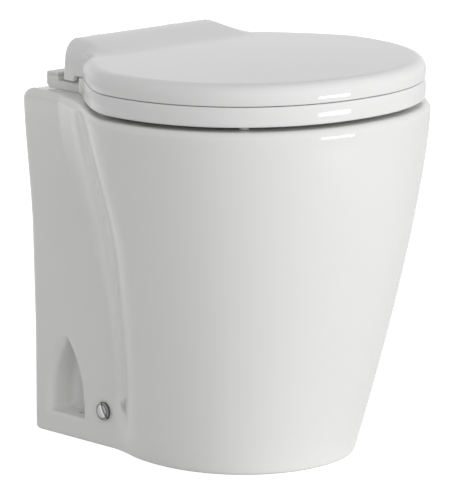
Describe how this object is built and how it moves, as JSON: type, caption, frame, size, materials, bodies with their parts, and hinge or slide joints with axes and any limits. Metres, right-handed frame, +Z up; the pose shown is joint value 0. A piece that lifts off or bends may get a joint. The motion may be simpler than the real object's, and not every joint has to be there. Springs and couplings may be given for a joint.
{
  "type": "electric marine toilet",
  "caption": "Compact floor-standing electric marine toilet: ceramic bowl with a smooth tapered pedestal, hinged seat and lid, and a macerator pump inside its base.",
  "frame": {"origin": "the middle of the whole toilet's footprint, at the floor", "axes": "+Z up; the toilet faces -Y, so +Y is its back; +X is on the right of someone who looks along +Y at its front"},
  "size_m": [0.381, 0.4166, 0.429],
  "materials": {
    "glazed_ceramic": "clear gloss glaze",
    "seat_plastic": "polished moulded duroplast",
    "white_plastic": "satin moulding",
    "black_plastic": "satin moulding",
    "grey_plastic": "fine moulded grain",
    "rubber": "matt",
    "white_rubber": "matt",
    "hose_rubber": "satin sanitation hose",
    "chrome": "polished",
    "steel": "turned stainless",
    "brass": "turned",
    "copper": "turned copper bars",
    "motor_paint": "satin paint",
    "ferrite": "sintered",
    "carbon": "pressed carbon"
  },
  "bodies": {
    "root": {"ceramic_bowl": "glazed_ceramic", "floor_bracket_left": "grey_plastic", "floor_bracket_right": "grey_plastic", "side_screw_left": "steel", "side_screw_right": "steel", "screw_cap_left": "chrome", "screw_cap_right": "chrome", "hinge_block": "white_plastic", "hinge_cover": "white_plastic", "seat_bolt_left": "steel", "seat_bolt_right": "steel", "wing_nut_left": "white_plastic", "wing_nut_right": "white_plastic", "hinge_pin_left": "steel", "hinge_pin_right": "steel", "outlet_gasket": "rubber", "macerator_housing": "black_plastic", "chopper_plate": "steel", "motor_flange": "black_plastic", "shaft_seal": "rubber", "motor_can": "motor_paint", "magnet_left": "ferrite", "magnet_right": "ferrite", "front_bearing": "steel", "rear_bearing": "steel", "motor_end_bell": "black_plastic", "brush_left": "carbon", "brush_right": "carbon", "motor_cradle": "grey_plastic", "rubber_mount_front": "rubber", "rubber_mount_rear": "rubber", "cable_gland": "black_plastic", "discharge_hose": "hose_rubber", "hose_clamp": "steel", "check_valve_body": "black_plastic", "duckbill_valve": "rubber", "discharge_hose_tail": "black_plastic", "inlet_hose_tail": "brass", "solenoid_valve_body": "white_plastic", "solenoid_coil": "black_plastic", "vacuum_breaker_body": "white_plastic", "vacuum_breaker_cap": "grey_plastic", "rinse_hose": "hose_rubber", "rinse_nozzle": "chrome", "rinse_nozzle_nut": "grey_plastic"},
    "seat": {"seat_ring": "seat_plastic", "seat_bumper_front_left": "white_rubber", "seat_bumper_front_right": "white_rubber", "seat_bumper_rear_left": "white_rubber", "seat_bumper_rear_right": "white_rubber"},
    "lid": {"lid": "seat_plastic", "lid_bumper_left": "white_rubber", "lid_bumper_right": "white_rubber"},
    "rotor": {"motor_shaft": "steel", "armature": "steel", "commutator": "copper", "macerator_blade": "steel", "pump_impeller": "grey_plastic"},
    "plunger": {"solenoid_plunger": "steel"},
    "float": {"vacuum_breaker_float": "rubber"}
  },
  "joints": [
    {"name": "seat_hinge", "type": "hinge", "parent": "root", "child": "seat", "pos_m": [0, 0.14225, 0.406], "axis": [1, 0, 0], "range_deg": [-95, 0]},
    {"name": "lid_hinge", "type": "hinge", "parent": "seat", "child": "lid", "pos_m": [0, 0.14225, 0.406], "axis": [-1, 0, 0], "range_deg": [0, 100]},
    {"name": "rotor_spin", "type": "hinge", "parent": "root", "child": "rotor", "pos_m": [0, 0.04475, 0.075], "axis": [0, 1, 0], "continuous": true},
    {"name": "plunger_slide", "type": "slide", "parent": "root", "child": "plunger", "axis": [1, 0, 0], "range_m": [0, 0.003], "stiffness_N_per_m": 300, "springref_m": -0.002},
    {"name": "float_slide", "type": "slide", "parent": "root", "child": "float", "axis": [0, 0, 1], "range_m": [0, 0.004]}
  ]
}
